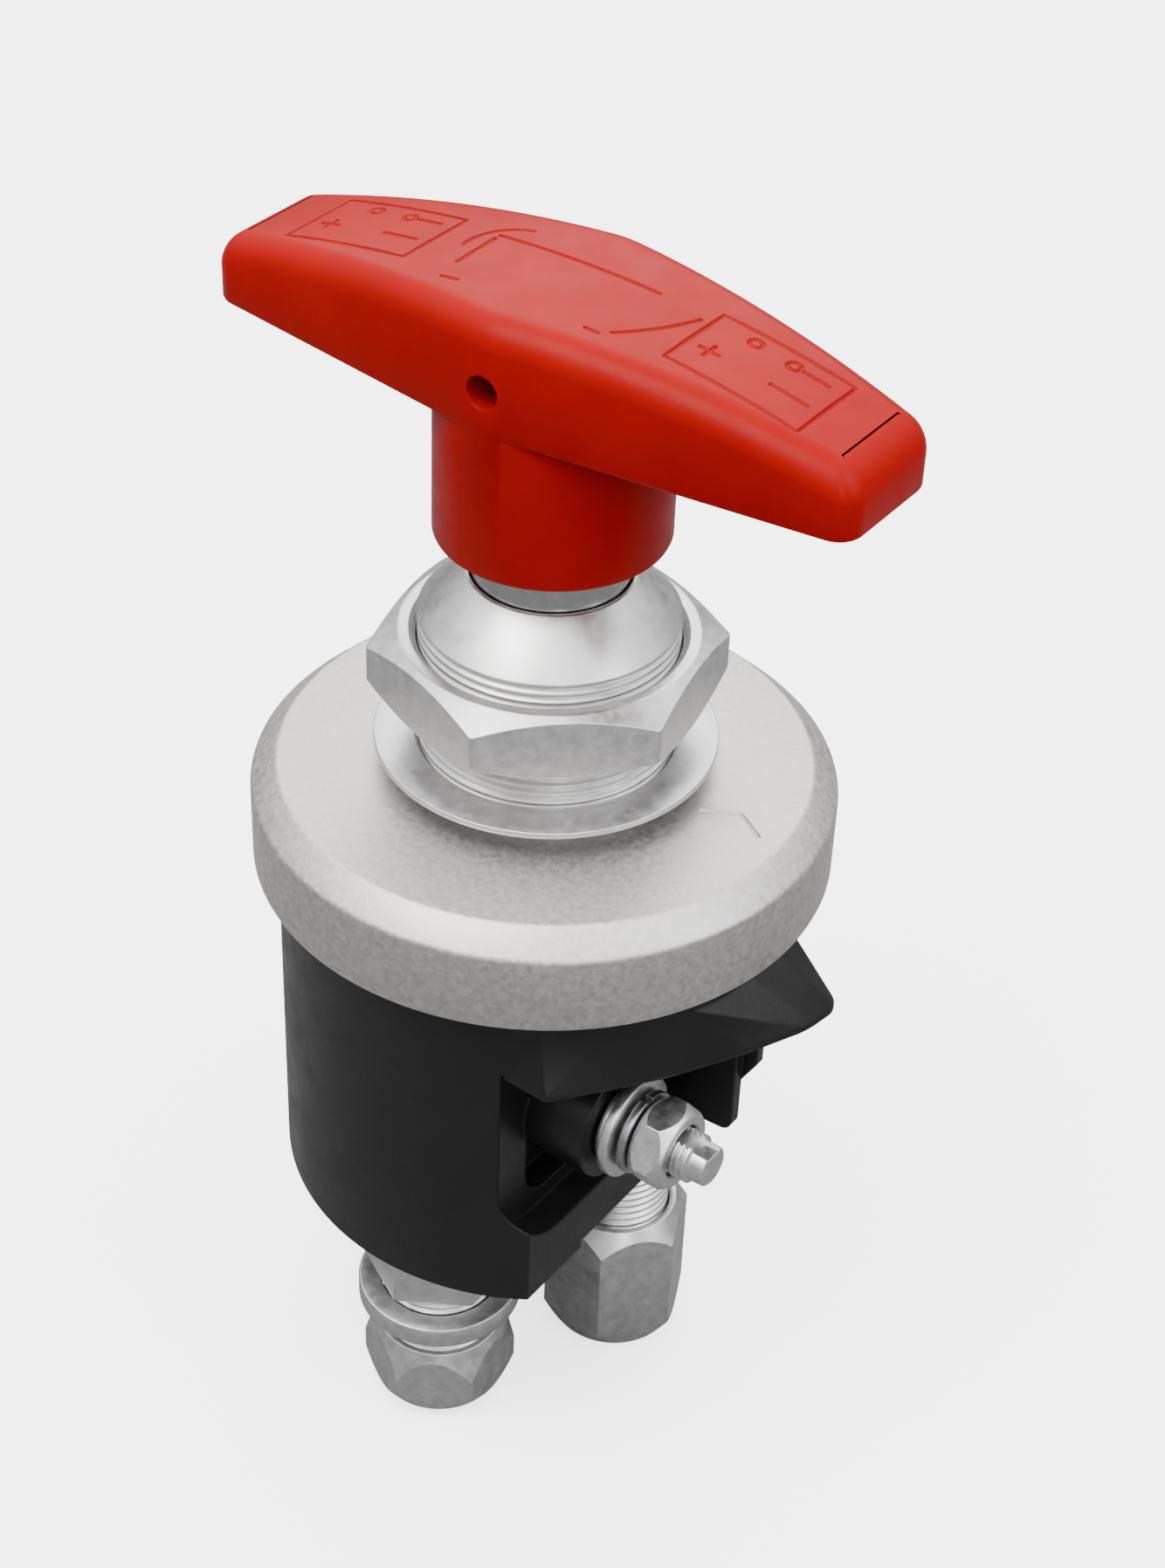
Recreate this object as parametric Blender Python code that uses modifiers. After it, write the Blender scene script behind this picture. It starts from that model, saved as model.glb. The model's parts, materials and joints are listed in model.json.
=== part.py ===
"""Panel-mounted rotary battery isolator switch, modelled as its separate pieces.

Frame: metres, +Z up. The origin is on the switch axis, level with the top face of the
steel cover flange, which seats against the back of the panel. The handle's long axis and
terminal stud A point along X, and terminal stud B along Y. The heights below are counted
from the joint between body and cover, and finish() lowers every piece by the flange's
height, so that the seating face ends at zero.
"""
import math

import bmesh
import bpy
from mathutils import Matrix, Vector

MM = 0.001
GAP = 0.3 * MM                      # clearance between pieces that touch

# Driving dimensions, in millimetres
FLANGE_R = 45.0                     # steel cover flange
FLANGE_H = 16.7
FLANGE_SIDE_H = 12.6                # straight side below the bevel
FLANGE_TOP_R = 41.2                 # flat top inside the bevel
COVER_BORE_R = 20.8
COVER_CAVITY_R = 34.0
COVER_CAVITY_H = 10.0
THREAD_R = 19.6                     # M40 x 1.5 panel thread
SHOULDER_R = 20.5
SHOULDER_TOP = 20.1
CONE_BOTTOM = 43.0
CONE_TOP = 50.2
CONE_TOP_R = 12.6
NECK_R = 11.85
BUSH_BORE_R = 12.15
NUT_AF = 47.2                       # panel nut across flats
NUT_Z = (28.9, 39.9)
WASHER_R = 26.2
WASHER_Z = (20.4, 21.4)

HUB_R = 17.5                        # handle hub
HUB_BOTTOM = 57.3
GRIP_BOTTOM = 80.3
GRIP_TOP = 97.65
GRIP_HALF_LENGTH = 54.05
GRIP_MID_R = 17.67                  # rounding of the grip over the hub
GRIP_TAPER = math.radians(7.655)    # each side face runs in towards the ends
GRIP_CROWN_R = 192.0                # arch of the top along its length
GRIP_EDGE_R = 4.4
GRIP_CORNER_R = 4.0
PIN_HOLE_R = 2.2
PIN_Z = 86.9
SPINDLE_TOP_R = 7.0

BODY_R = 41.2
BODY_BOTTOM = -60.3
FLAT_X = 23.7                       # lower terminal flat
RECESS_X = 18.45                    # floor of the terminal recess
RECESS_Y = (-36.3, -1.8)
RECESS_Z = (-49.5, -12.6)
RECESS_CORNER_R = 10.8
CAVITY_R = 16.5                     # contact chamber
CAVITY_FLOOR = -43.0
HOOD_RIM = (-13.8, -12.6)           # height band of the hood's rim
HOOD_ROOF_Z = -3.5

STUD_Y = -18.9                      # terminal stud A runs along +X here
STUD_Z = -28.8
STUD_R = 4.0                        # M8
STUD_TIP = 46.6
TERMINAL_NUT_AF = 13.0

TURN = math.radians(90.0)           # handle travel, off to on
CONTACT_TRAVEL = 3.0
CAM_TOOTH_RISE = 5.667              # 3 mm for each quarter turn, over 170 degrees
CAM_TOOTH_SPAN = math.radians(170.0)
CAM_TOP = 2.4
CAM_BASE = -3.0
CAM_CLEARANCE = 1.0

GLAND_XY = (0.0, -25.7)
OUTLET_XY = (14.4, 5.1)
GLAND_BOTTOM = -98.6
OUTLET_BOTTOM = -99.5

PALETTE = {
    "red_plastic": ((0.80, 0.015, 0.012, 1.0), 0.35, 0.0),
    "steel": ((0.62, 0.61, 0.60, 1.0), 0.35, 1.0),
    "zinc_steel": ((0.70, 0.70, 0.72, 1.0), 0.28, 1.0),
    "black_plastic": ((0.02, 0.02, 0.021, 1.0), 0.42, 0.0),
    "grey_plastic": ((0.30, 0.31, 0.32, 1.0), 0.50, 0.0),
    "copper": ((0.72, 0.33, 0.20, 1.0), 0.30, 1.0),
    "silver": ((0.85, 0.85, 0.84, 1.0), 0.25, 1.0),
    "spring_steel": ((0.45, 0.45, 0.46, 1.0), 0.30, 1.0),
    "rubber": ((0.03, 0.03, 0.03, 1.0), 0.75, 0.0),
}


# ---------------------------------------------------------------- scene helpers
def clear_scene():
    for obj in list(bpy.data.objects):
        bpy.data.objects.remove(obj, do_unlink=True)


def collection(name):
    made = bpy.data.collections.new(name)
    bpy.context.scene.collection.children.link(made)
    return made


def material(node, finish):
    colour, roughness, metallic = PALETTE[finish]
    mat = bpy.data.materials.new(node + "_" + finish)
    mat.use_nodes = True
    shader = mat.node_tree.nodes["Principled BSDF"]
    shader.inputs["Base Color"].default_value = colour
    shader.inputs["Roughness"].default_value = roughness
    shader.inputs["Metallic"].default_value = metallic
    mat.diffuse_color = colour
    return mat


def move_to(obj, target):
    for owner in list(obj.users_collection):
        owner.objects.unlink(obj)
    target.objects.link(obj)


def evaluated_copy(obj):
    """The object's mesh with its modifiers applied, in world space."""
    graph = bpy.context.evaluated_depsgraph_get()
    graph.update()
    mesh = bpy.data.meshes.new_from_object(obj.evaluated_get(graph))
    mesh.transform(obj.matrix_world)
    return mesh


def weld(mesh, distance=2e-6):
    """Merge points that lie closer together than any real edge of the part."""
    bm = bmesh.new()
    bm.from_mesh(mesh)
    bmesh.ops.remove_doubles(bm, verts=bm.verts, dist=distance)
    bmesh.ops.dissolve_degenerate(bm, edges=bm.edges, dist=distance)
    bmesh.ops.recalc_face_normals(bm, faces=bm.faces)
    bm.to_mesh(mesh)
    bm.free()


def as_mesh(obj, name):
    """Replace an object by its evaluated mesh, with loose caps welded."""
    bpy.context.view_layer.update()
    mesh = evaluated_copy(obj)
    weld(mesh)
    made = bpy.data.objects.new(name, mesh)
    WORK.objects.link(made)
    bpy.data.objects.remove(obj, do_unlink=True)
    return made


# ---------------------------------------------------------------- solid makers (sizes in mm)
def turned(name, profile, steps=40, axis="Z", at=(0.0, 0.0, 0.0), closed=True):
    """Turn a profile of (radius, height) points, outer side first and running down."""
    points = [(r * MM, 0.0, z * MM) for r, z in profile]
    edges = [(i, i + 1) for i in range(len(points) - 1)]
    if closed:
        edges.append((len(points) - 1, 0))
    mesh = bpy.data.meshes.new(name)
    mesh.from_pydata(points, edges, [])
    obj = bpy.data.objects.new(name, mesh)
    WORK.objects.link(obj)
    screw = obj.modifiers.new("turn", "SCREW")
    screw.steps = steps
    screw.render_steps = steps
    screw.use_merge_vertices = True
    screw.merge_threshold = 0.00001
    screw.use_normal_calculate = True
    made = as_mesh(obj, name)
    if axis == "X":
        made.data.transform(Matrix.Rotation(math.radians(90), 4, "Y"))
    elif axis == "Y":
        made.data.transform(Matrix.Rotation(math.radians(-90), 4, "X"))
    made.data.transform(Matrix.Translation(Vector(at) * MM))
    return made


def tube(name, r_out, r_in, z0, z1, steps=40, axis="Z", at=(0.0, 0.0, 0.0)):
    return turned(name, [(r_out, z1), (r_out, z0), (r_in, z0), (r_in, z1)], steps, axis, at)


def rod(name, r, z0, z1, steps=32, axis="Z", at=(0.0, 0.0, 0.0)):
    return turned(name, [(0.0, z1), (r, z1), (r, z0), (0.0, z0)], steps, axis, at, closed=False)


def box(name, low, high):
    bpy.ops.mesh.primitive_cube_add(size=1.0)
    obj = bpy.context.active_object
    obj.name = name
    size = [(b - a) * MM for a, b in zip(low, high)]
    mid = [(a + b) / 2 * MM for a, b in zip(low, high)]
    obj.data.transform(Matrix.Translation(mid) @ Matrix.Diagonal((*size, 1.0)))
    move_to(obj, WORK)
    return obj


def hexagon(name, across_flats, z0, z1, turn_deg=0.0, top=None, bottom=None, axis="Z",
            at=(0.0, 0.0, 0.0), barrel_steps=24):
    """A hex prism with a corner at turn_deg; each end is coned from a radius, by a drop
    at the corners."""
    corner_r = across_flats / math.sqrt(3.0)
    depth = (z1 - z0 + 2.0) * MM
    bpy.ops.mesh.primitive_cylinder_add(vertices=6, radius=corner_r * MM, depth=depth)
    prism = bpy.context.active_object
    prism.name = name
    move_to(prism, WORK)
    # The primitive's first corner is on +Y
    spin = Matrix.Rotation(math.radians(turn_deg - 90.0), 4, "Z")
    prism.data.transform(Matrix.Translation((0, 0, (z0 + z1) / 2 * MM)) @ spin)
    plain = (across_flats / 2 * 0.955, (corner_r - across_flats / 2 * 0.955) * 0.577)
    top_r, top_drop = top or plain
    low_r, low_drop = bottom or plain
    rim = corner_r + 0.5
    profile = [(0.0, z1), (top_r, z1),
               (rim, z1 - top_drop * (rim - top_r) / (corner_r - top_r)),
               (rim, z0 + low_drop * (rim - low_r) / (corner_r - low_r)),
               (low_r, z0), (0.0, z0)]
    barrel = turned(name + "_barrel", profile, barrel_steps, closed=False)
    combine(prism, barrel, "INTERSECT")
    if axis == "X":
        prism.data.transform(Matrix.Rotation(math.radians(90), 4, "Y"))
    elif axis == "Y":
        prism.data.transform(Matrix.Rotation(math.radians(-90), 4, "X"))
    prism.data.transform(Matrix.Translation(Vector(at) * MM))
    return prism


def prism_from_outline(name, outline, low, high, plane="XY"):
    """Extrude a closed outline of points between two heights across its plane."""
    curve = bpy.data.curves.new(name, "CURVE")
    curve.dimensions = "2D"
    curve.fill_mode = "BOTH"
    curve.extrude = (high - low) / 2 * MM
    spline = curve.splines.new("POLY")
    spline.points.add(len(outline) - 1)
    for point, (u, v) in zip(spline.points, outline):
        point.co = (u * MM, v * MM, 0.0, 1.0)
    spline.use_cyclic_u = True
    obj = bpy.data.objects.new(name, curve)
    WORK.objects.link(obj)
    made = as_mesh(obj, name)
    shift = Matrix.Translation((0, 0, (low + high) / 2 * MM))
    if plane == "XY":
        made.data.transform(shift)
    elif plane == "XZ":
        # u is X, v is Z, and the thickness runs along Y
        made.data.transform(Matrix.Rotation(math.radians(90), 4, "X") @ Matrix.Scale(1, 4))
        made.data.transform(Matrix.Translation((0, (low + high) / 2 * MM, 0)))
    elif plane == "YZ":
        # u is Y, v is Z, and the thickness runs along X
        turn = Matrix(((0, 0, 1, 0), (1, 0, 0, 0), (0, 1, 0, 0), (0, 0, 0, 1)))
        made.data.transform(turn)
        made.data.transform(Matrix.Translation(((low + high) / 2 * MM, 0, 0)))
    return made


def combine(target, tool, operation):
    """Apply one Boolean to a working mesh and drop the tool."""
    boolean = target.modifiers.new("combine", "BOOLEAN")
    boolean.object = tool
    boolean.operation = operation
    boolean.solver = "EXACT"
    bpy.context.view_layer.update()
    mesh = evaluated_copy(target)
    weld(mesh)
    target.modifiers.clear()
    target.data = mesh
    bpy.data.objects.remove(tool, do_unlink=True)
    return target


def rounded_outline(corners, arc_steps=6):
    """Corner points (u, v, radius) joined into an outline with round corners."""
    out = []
    count = len(corners)
    for i, (u, v, radius) in enumerate(corners):
        here = Vector((u, v))
        if radius <= 0.0:
            out.append((u, v))
            continue
        before = (Vector(corners[i - 1][:2]) - here).normalized()
        after = (Vector(corners[(i + 1) % count][:2]) - here).normalized()
        half = before.angle(after) / 2
        reach = radius / math.tan(half)
        centre = here + (before + after).normalized() * (radius / math.sin(half))
        first = here + before * reach - centre
        last = here + after * reach - centre
        sweep = first.angle_signed(last)
        for k in range(arc_steps + 1):
            turned_point = first.copy()
            turned_point.rotate(Matrix.Rotation(-sweep * k / arc_steps, 2))
            out.append(tuple(centre + turned_point))
    return out


def hull_of(name, points):
    """The convex solid around a set of points."""
    bm = bmesh.new()
    for point in points:
        bm.verts.new(Vector(point) * MM)
    result = bmesh.ops.convex_hull(bm, input=bm.verts)
    loose = [e for e in result["geom_interior"] if isinstance(e, bmesh.types.BMVert)]
    bmesh.ops.delete(bm, geom=loose, context="VERTS")
    mesh = bpy.data.meshes.new(name)
    bm.to_mesh(mesh)
    bm.free()
    obj = bpy.data.objects.new(name, mesh)
    WORK.objects.link(obj)
    return obj


def mirrored(obj, name):
    """Copy across the upright plane through the axis at 45 degrees: x and y swap."""
    mesh = obj.data.copy()
    mesh.transform(Matrix(((0, 1, 0, 0), (1, 0, 0, 0), (0, 0, 1, 0), (0, 0, 0, 1))))
    mesh.flip_normals()
    made = bpy.data.objects.new(name, mesh)
    WORK.objects.link(made)
    return made


def finish(obj, name, look, pivot=None):
    """Name a working solid, give it its material and put its origin on its joint axis."""
    obj.name = name
    obj.data.name = name
    obj.data.transform(Matrix.Translation((0.0, 0.0, -FLANGE_H * MM)))
    if pivot is not None:
        place = Vector(pivot) * MM
        obj.data.transform(Matrix.Translation(-place))
        obj.location = place
    obj.data.materials.clear()
    obj.data.materials.append(material(name, look))
    obj.data.shade_smooth()
    obj.data.set_sharp_from_angle(angle=math.radians(35))
    move_to(obj, PARTS)
    return obj


# ---------------------------------------------------------------- handle and spindle
def grip_height(x):
    """Height of the arched top of the grip at a distance along it."""
    return GRIP_TOP - GRIP_CROWN_R + math.sqrt(GRIP_CROWN_R ** 2 - x * x)


def grip_outline():
    """Half of the grip's plan from its +X end to its -X end, at +Y."""
    end_half = GRIP_MID_R / math.cos(GRIP_TAPER) - GRIP_HALF_LENGTH * math.tan(GRIP_TAPER)
    corner = rounded_outline([(GRIP_HALF_LENGTH, 0.0, 0.0),
                              (GRIP_HALF_LENGTH, end_half, GRIP_CORNER_R),
                              (0.0, GRIP_MID_R / math.cos(GRIP_TAPER), 0.0)], 3)[1:-1]
    side = []
    tangent = GRIP_MID_R * math.sin(GRIP_TAPER)
    start = corner[-1][0]
    runs = 5
    for k in range(1, runs):
        x = start + (tangent - start) * k / runs
        side.append((x, (GRIP_MID_R - x * math.sin(GRIP_TAPER)) / math.cos(GRIP_TAPER)))
    middle = []
    for k in range(-2, 3):
        angle = GRIP_TAPER * k / 2
        middle.append((-GRIP_MID_R * math.sin(angle), GRIP_MID_R * math.cos(angle)))
    right = corner + side
    left = [(-x, y) for x, y in reversed(right)]
    return right + middle + left


def inset(points, distance):
    """Move a half outline inwards by a distance, keeping its ends on the end faces."""
    full = points + [(x, -y) for x, y in reversed(points)]
    count = len(full)
    out = []
    for i in range(len(points)):
        here = Vector(full[i])
        before = (here - Vector(full[i - 1])).normalized()
        after = (Vector(full[(i + 1) % count]) - here).normalized()
        normal = Vector((-(before.y + after.y), before.x + after.x)).normalized()
        stretch = 1.0 / max(0.5, normal.dot(Vector((-before.y, before.x))))
        out.append(tuple(here + normal * distance * stretch))
    return out


def make_grip():
    """Loft the grip: straight sides, rounded top edge, arched top."""
    half = grip_outline()
    count = len(half)
    levels = [(0.0, None)]
    arc_steps = 3
    for k in range(arc_steps + 1):
        angle = math.radians(90.0) * k / arc_steps
        levels.append((GRIP_EDGE_R * (1 - math.cos(angle)), GRIP_EDGE_R * (1 - math.sin(angle))))
    bm = bmesh.new()
    loops = []
    for offset, drop in levels:
        ring = inset(half, offset)
        ring = ring + [(x, -y) for x, y in reversed(ring)]
        loop = []
        for x, y in ring:
            z = GRIP_BOTTOM if drop is None else grip_height(x) - drop
            loop.append(bm.verts.new((x * MM, y * MM, z * MM)))
        loops.append(loop)
    for lower, upper in zip(loops, loops[1:]):
        for i in range(2 * count):
            j = (i + 1) % (2 * count)
            bm.faces.new((lower[i], lower[j], upper[j], upper[i]))
    for loop in (loops[0], loops[-1]):
        for i in range(count - 1):
            bm.faces.new((loop[i], loop[i + 1], loop[2 * count - 2 - i], loop[2 * count - 1 - i]))
    bmesh.ops.recalc_face_normals(bm, faces=bm.faces)
    mesh = bpy.data.meshes.new("grip")
    bm.to_mesh(mesh)
    bm.free()
    grip = bpy.data.objects.new("grip", mesh)
    WORK.objects.link(grip)
    return grip


def make_handle():
    handle = make_grip()
    hub = rod("hub", HUB_R, HUB_BOTTOM, GRIP_BOTTOM + 4.0, 48)
    combine(handle, hub, "UNION")
    combine(handle, rod("bore", SPINDLE_TOP_R + 0.3, HUB_BOTTOM - 1.0, 93.0, 24), "DIFFERENCE")
    hole = rod("pin_hole", PIN_HOLE_R, -25.0, 25.0, 16, "Y", (0.0, 0.0, PIN_Z))
    combine(handle, hole, "DIFFERENCE")
    finish(handle, "t_handle", "red_plastic", (0, 0, 0))


def make_spindle():
    oring_r = NECK_R - 1.5
    profile = [(0.0, 92.0), (SPINDLE_TOP_R - 0.6, 92.0), (SPINDLE_TOP_R, 91.4),
               (SPINDLE_TOP_R, 57.0), (NECK_R, 57.0)]
    for centre in (38.0, 30.0):
        profile += [(NECK_R, centre + 1.5), (oring_r, centre + 1.5),
                    (oring_r, centre - 1.5), (NECK_R, centre - 1.5)]
    profile += [(NECK_R, 6.4), (15.0, 6.4), (15.0, 2.8), (5.0, 2.8), (5.0, -9.2), (4.2, -9.2),
                (4.2, -10.4), (5.0, -10.4), (5.0, -12.5), (0.0, -12.5)]
    spindle = turned("spindle", profile, 24, closed=False)
    hole = rod("cross_hole", PIN_HOLE_R, -12.0, 12.0, 16, "Y", (0.0, 0.0, PIN_Z))
    combine(spindle, hole, "DIFFERENCE")
    finish(spindle, "spindle", "steel", (0, 0, 0))
    pin = rod("pin", PIN_HOLE_R - 0.3, -11.0, 11.0, 16, "Y", (0.0, 0.0, PIN_Z))
    finish(pin, "handle_pin", "spring_steel", (0, 0, 0))


# ---------------------------------------------------------------- cover, bushing and panel hardware
def make_cover():
    profile = [(COVER_BORE_R, FLANGE_H), (FLANGE_TOP_R, FLANGE_H), (FLANGE_R, FLANGE_SIDE_H),
               (FLANGE_R, 0.0), (COVER_CAVITY_R, 0.0), (COVER_CAVITY_R, COVER_CAVITY_H),
               (COVER_BORE_R, COVER_CAVITY_H)]
    finish(turned("cover", profile, 48), "cover_flange", "steel")


def make_bushing():
    profile = [(BUSH_BORE_R, CONE_TOP), (CONE_TOP_R, CONE_TOP), (THREAD_R, CONE_BOTTOM),
               (THREAD_R, SHOULDER_TOP), (SHOULDER_R, SHOULDER_TOP), (SHOULDER_R, 9.7),
               (26.0, 9.7), (26.0, 7.4), (BUSH_BORE_R, 7.4)]
    finish(turned("bushing", profile, 40), "threaded_bushing", "steel")


def make_panel_hardware():
    nut = hexagon("nut", NUT_AF, NUT_Z[0], NUT_Z[1], -18.0, barrel_steps=48)
    combine(nut, rod("bore", THREAD_R + 0.3, NUT_Z[0] - 1, NUT_Z[1] + 1, 40), "DIFFERENCE")
    finish(nut, "panel_nut", "zinc_steel", (0, 0, 0))
    washer = tube("washer", WASHER_R, THREAD_R + 0.3, WASHER_Z[0], WASHER_Z[1], 48)
    finish(washer, "panel_washer", "zinc_steel")


def make_seals():
    finish(tube("gasket", 39.2, 36.8, -2.0, -GAP / MM, 40), "cover_gasket", "rubber")
    for index, centre in enumerate((38.0, 30.0), 1):
        bpy.ops.mesh.primitive_torus_add(major_radius=(NECK_R - 0.65) * MM, minor_radius=0.55 * MM,
                                         major_segments=24, minor_segments=6)
        ring = bpy.context.active_object
        move_to(ring, WORK)
        ring.data.transform(Matrix.Translation((0, 0, centre * MM)))
        finish(ring, "shaft_oring_%d" % index, "rubber", (0, 0, 0))
    finish(tube("thrust", 14.8, BUSH_BORE_R + 0.1, 6.7, 7.1, 32), "thrust_washer", "grey_plastic")


# ---------------------------------------------------------------- cam and contacts
def tooth_height(angle):
    """Depth of the cam's two helical teeth: a clockwise turn pushes the carriage down."""
    along = -angle % math.pi
    if along <= CAM_TOOTH_SPAN:
        return CAM_TOOTH_RISE * (1.0 - along / CAM_TOOTH_SPAN)
    return CAM_TOOTH_RISE * (along - CAM_TOOTH_SPAN) / (math.pi - CAM_TOOTH_SPAN)


def shape_teeth(obj, flat_z, above):
    """Lower the ring's toothed face by the tooth depth at each vertex's angle."""
    for vert in obj.data.vertices:
        if abs(vert.co.z - flat_z * MM) < 1e-6:
            angle = math.atan2(vert.co.y, vert.co.x)
            vert.co.z -= (tooth_height(angle) + above) * MM


def make_cam():
    ring = tube("cam_ring", 15.5, 11.5, CAM_BASE, CAM_TOP, 36)
    shape_teeth(ring, CAM_BASE, 0.0)
    hub = tube("cam_hub", 12.1, 5.3, -1.5, CAM_TOP, 24)
    inner = tube("cam_sleeve", 8.0, 5.3, -8.9, 0.0, 24)
    combine(hub, inner, "UNION")
    combine(ring, hub, "UNION")
    finish(ring, "cam_rotor", "grey_plastic", (0, 0, 0))
    clip = tube("clip", 7.4, 4.4, -10.2, -9.4, 20)
    combine(clip, box("clip_gap", (0.0, -1.6, -11.0), (9.0, 1.6, -9.0)), "DIFFERENCE")
    finish(clip, "cam_circlip", "spring_steel", (0, 0, 0))


def bridge_placement():
    """Turn and place a bar so that it runs between the two fixed contacts."""
    return Matrix.Translation((-4.0 * MM, -4.0 * MM, 0)) @ Matrix.Rotation(math.radians(135), 4, "Z")


def make_contacts():
    ring = tube("carriage_ring", 15.8, 11.2, -14.5, CAM_BASE, 36)
    shape_teeth(ring, CAM_BASE, CAM_CLEARANCE)
    floor = rod("carriage_floor", 11.7, -14.5, -12.9, 24)
    stem = rod("carriage_stem", 8.5, -27.0, -13.5, 24)
    combine(floor, stem, "UNION")
    combine(ring, floor, "UNION")
    slot = box("bridge_slot", (-25.0, -4.3, -18.3), (25.0, 4.3, -15.2))
    slot.data.transform(bridge_placement())
    combine(ring, slot, "DIFFERENCE")
    finish(ring, "contact_carriage", "grey_plastic", (0, 0, 0))
    bar = box("bar", (-16.5, -4.0, -18.0), (16.5, 4.0, -15.5))
    bar.data.transform(bridge_placement())
    finish(bar, "contact_bridge", "copper", (0, 0, 0))

    turns, wire_r, coil_r = 4, 0.8, 6.2
    low, high = CAVITY_FLOOR + 0.3 + wire_r, -27.3 - wire_r
    curve = bpy.data.curves.new("coil", "CURVE")
    curve.dimensions = "3D"
    curve.bevel_depth = wire_r * MM
    curve.bevel_resolution = 1
    curve.use_fill_caps = True
    spline = curve.splines.new("POLY")
    points = turns * 12 + 1
    spline.points.add(points - 1)
    for k in range(points):
        angle = 2 * math.pi * k / 12
        z = low + (high - low) * k / (points - 1)
        spline.points[k].co = (coil_r * math.cos(angle) * MM, coil_r * math.sin(angle) * MM,
                               z * MM, 1.0)
    coil = bpy.data.objects.new("coil", curve)
    WORK.objects.link(coil)
    finish(as_mesh(coil, "contact_spring"), "contact_spring", "spring_steel")


def make_terminal():
    """Terminal A, along +X; terminal B is its mirror image, along +Y."""
    at = (0.0, STUD_Y, STUD_Z)
    pieces = []
    block = box("block", (1.0, -24.0, -34.0), (11.0, -10.2, -22.3))
    button = rod("button", 3.2, -23.0, -21.3, 16, at=(5.0, -13.0, 0.0))
    combine(block, button, "UNION")
    combine(block, rod("stud_hole", STUD_R + 0.3, 0.0, 12.0, 20, "X", at), "DIFFERENCE")
    pieces.append((block, "fixed_contact", "copper"))
    head = [(0.0, STUD_TIP), (STUD_R - 0.8, STUD_TIP), (STUD_R, STUD_TIP - 0.8), (STUD_R, 0.7),
            (5.2, 0.7), (5.2, -2.6), (0.0, -2.6)]
    stud = turned("stud", head, 20, "X", at, closed=False)
    keyway = box("keyway", (STUD_TIP - 9.0, STUD_Y - 1.7, STUD_Z + STUD_R - 1.7),
                 (STUD_TIP + 1.0, STUD_Y + 1.7, STUD_Z + STUD_R + 1.0))
    combine(stud, keyway, "DIFFERENCE")
    pieces.append((stud, "terminal_stud", "zinc_steel"))
    base = tube("base_washer", 7.0, STUD_R + 0.3, 29.6, 30.7, 24, "X", at)
    pieces.append((base, "stud_base_washer", "zinc_steel"))
    washer = tube("flat", 8.4, STUD_R + 0.3, 31.0, 32.6, 24, "X", at)
    pieces.append((washer, "flat_washer", "zinc_steel"))
    lock = tube("lock", 6.8, STUD_R + 0.3, 33.4, 34.7, 20, "X", at)
    split = box("split", (33.0, STUD_Y - 0.7, STUD_Z), (35.0, STUD_Y + 0.7, STUD_Z + 9.0))
    combine(lock, split, "DIFFERENCE")
    pieces.append((lock, "lock_washer", "spring_steel"))
    nut = hexagon("nut", TERMINAL_NUT_AF, 35.0, 41.2, 34.0, top=(6.1, 2.0), bottom=(6.1, 2.0),
                  axis="X", at=at)
    combine(nut, rod("thread", STUD_R + 0.3, 34.0, 42.0, 20, "X", at), "DIFFERENCE")
    pieces.append((nut, "terminal_nut", "zinc_steel"))
    for obj, name, look in pieces:
        other = mirrored(obj, name + "_b")
        finish(obj, name + "_a", look)
        finish(other, name + "_b", look)


# ---------------------------------------------------------------- body and its terminal housings
def hood_solid():
    """The roof over a terminal: a flat-edged rim with a roof that climbs to the cover."""
    rim = [(18.1, -35.9), (27.4, -36.2), (33.6, -28.0), (38.5, -21.2), (42.3, -14.9),
           (44.9, -9.7), (47.2, -4.7), (49.0, -0.6), (50.2, 3.2), (50.4, 5.6), (49.5, 8.1),
           (47.6, 10.1), (45.2, 11.4), (37.9, 15.5), (16.0, 28.0)]
    roof = [(23.9, -33.3), (31.5, -25.5), (37.0, -16.8), (40.2, -4.0), (40.2, 4.0), (36.0, 12.0),
            (14.0, 24.0)]
    points = [(x, y, z) for x, y in rim for z in HOOD_RIM]
    points += [(x, y, HOOD_ROOF_Z) for x, y in roof]
    return hull_of("hood", points)


def terminal_side(body):
    """Cut terminal A's recess and add its hood, fins and stud boss; then the same for B."""
    def both(tool, operation):
        combine(body, mirrored(tool, tool.name + "_b"), operation)
        combine(body, tool, operation)

    both(box("flat", (FLAT_X, -50.0, -70.0), (60.0, 50.0, RECESS_Z[1])), "DIFFERENCE")
    left, right = RECESS_Y
    low, high = RECESS_Z
    outer = rounded_outline([(left, high, 0.0), (left, low, RECESS_CORNER_R),
                             (right, low, RECESS_CORNER_R / 2), (right, high, 0.0)], 6)
    both(prism_from_outline("recess", outer, RECESS_X, 60.0, "YZ"), "DIFFERENCE")
    inner = rounded_outline([(-27.9, high, 0.0), (-27.9, low + 3.0, 6.0),
                             (-12.5, low + 3.0, 3.0), (-12.5, high, 0.0)], 5)
    both(prism_from_outline("well", inner, 14.0, 30.0, "YZ"), "DIFFERENCE")
    both(rod("boss", 9.9, 12.5, 29.2, 28, "X", (0.0, STUD_Y, STUD_Z)), "UNION")
    both(hood_solid(), "UNION")
    fin = rounded_outline([(16.9, -13.0, 0.0), (39.0, -13.0, 0.0), (39.0, -39.3, 2.0),
                           (16.9, -40.5, 0.0)], 4)
    both(prism_from_outline("fin", fin, -1.5, 0.6, "XZ"), "UNION")
    rib = [(16.9, -13.0), (41.6, -13.0), (41.6, -25.0), (37.9, -31.5), (16.9, -38.0)]
    both(prism_from_outline("rib", rib, 0.3, 2.1, "XZ"), "UNION")


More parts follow.
